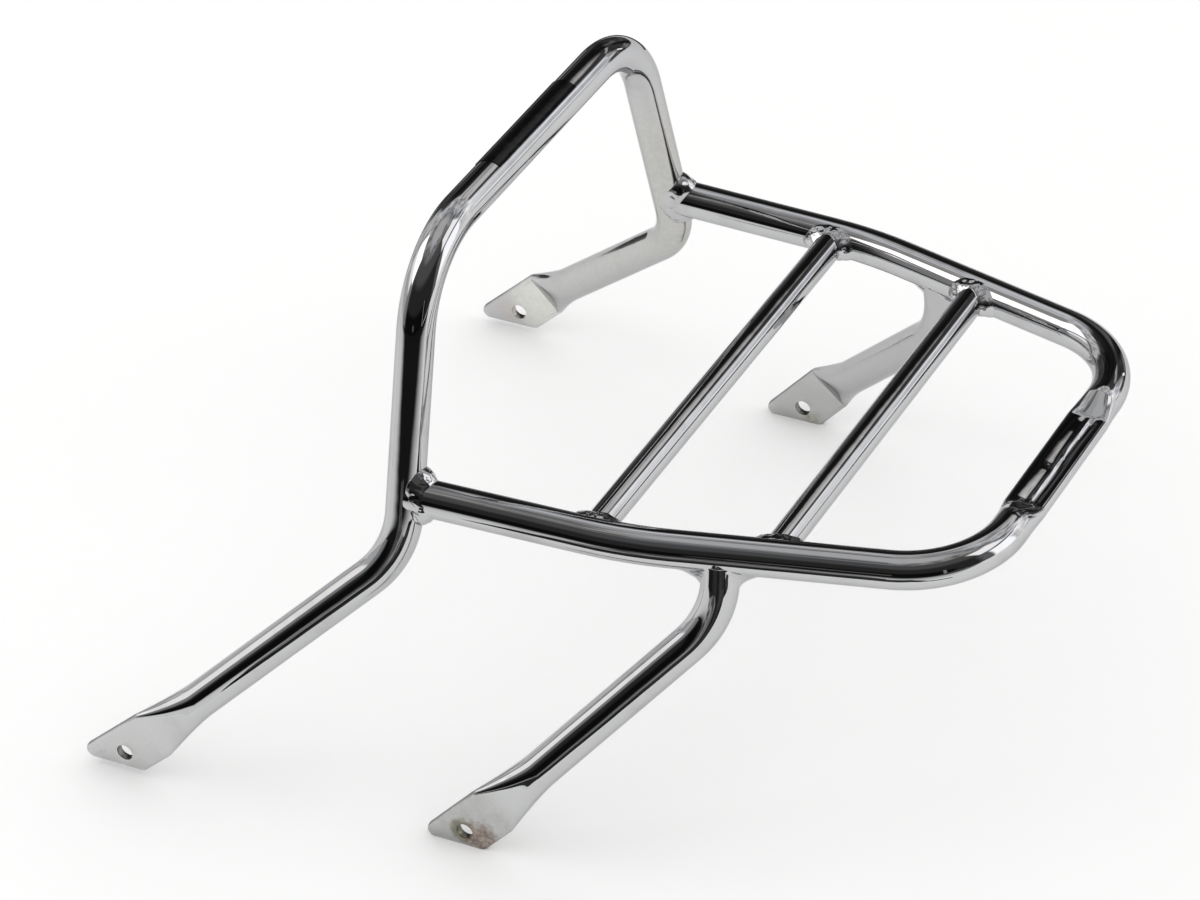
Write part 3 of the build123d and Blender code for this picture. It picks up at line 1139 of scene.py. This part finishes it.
def lay(name, x, y, half_x, half_y, turn, height, material):
    """Puts a sheet on the table that only polished metal sees."""
    bm = bmesh.new()
    bmesh.ops.create_grid(bm, x_segments=2, y_segments=2, size=1)
    swing = Matrix.Rotation(radians(turn), 4, "Z") @ Matrix.Diagonal((half_x, half_y, 1, 1))
    bmesh.ops.transform(bm, matrix=Matrix.Translation((x, y, 0)) @ swing, verts=bm.verts)
    sheet = place(name, bm)
    sheet.location.z = floor_z + height
    sheet.data.materials.append(material)
    only_in_reflections(sheet)


front_y = front_edge - front_depth / 2
lay("table_front", middle_x, front_y, front_half, front_depth / 2, 0, front_height, front_finish())
for name, x, y, half_x, half_y, turn, height, dark, light in mats:
    lay(name, x, y, half_x, half_y, turn, height, mat_finish(name, dark, light))

room_light = 0.97
world = bpy.data.worlds.new("studio")
world.use_nodes = True
background = world.node_tree.nodes["Background"].inputs
background["Color"].default_value = (1, 1, 1, 1)
background["Strength"].default_value = room_light
bpy.context.scene.world = world


def softbox(name, azimuth, elevation, distance, width, height, bright):
    """Lamp that faces the rack from that direction."""
    lamp = bpy.data.lights.new(name, "AREA")
    lamp.shape = "RECTANGLE"
    lamp.size = width
    lamp.size_y = height
    lamp.energy = bright * pi * width * height
    box = bpy.data.objects.new(name, lamp)
    turn = radians(azimuth)
    rise = radians(elevation)
    out = Vector((cos(turn) * cos(rise), sin(turn) * cos(rise), sin(rise)))
    box.location = room_centre + out * distance
    box.rotation_euler = out.to_track_quat("Z", "Y").to_euler()
    box.visible_glossy = False
    box.visible_camera = False
    bpy.context.scene.collection.objects.link(box)


softbox("left_softbox", azimuth=-159, elevation=40, distance=2.5, width=1.8, height=1.0, bright=1.2)
softbox("right_softbox", azimuth=17, elevation=25, distance=2.5, width=1.2, height=2.0, bright=1.2)

camera_data = bpy.data.cameras.new("camera")
camera_data.sensor_width = 36
camera_data.lens = 153.6017
camera_data.clip_end = 50
camera = bpy.data.objects.new("camera", camera_data)
camera.location = (1.137606, -1.759945, 1.526454)
camera.rotation_euler = (radians(54.38111), radians(3.01409), radians(26.99851))
bpy.context.scene.collection.objects.link(camera)
bpy.context.scene.camera = camera
bpy.context.scene.view_settings.view_transform = "Standard"
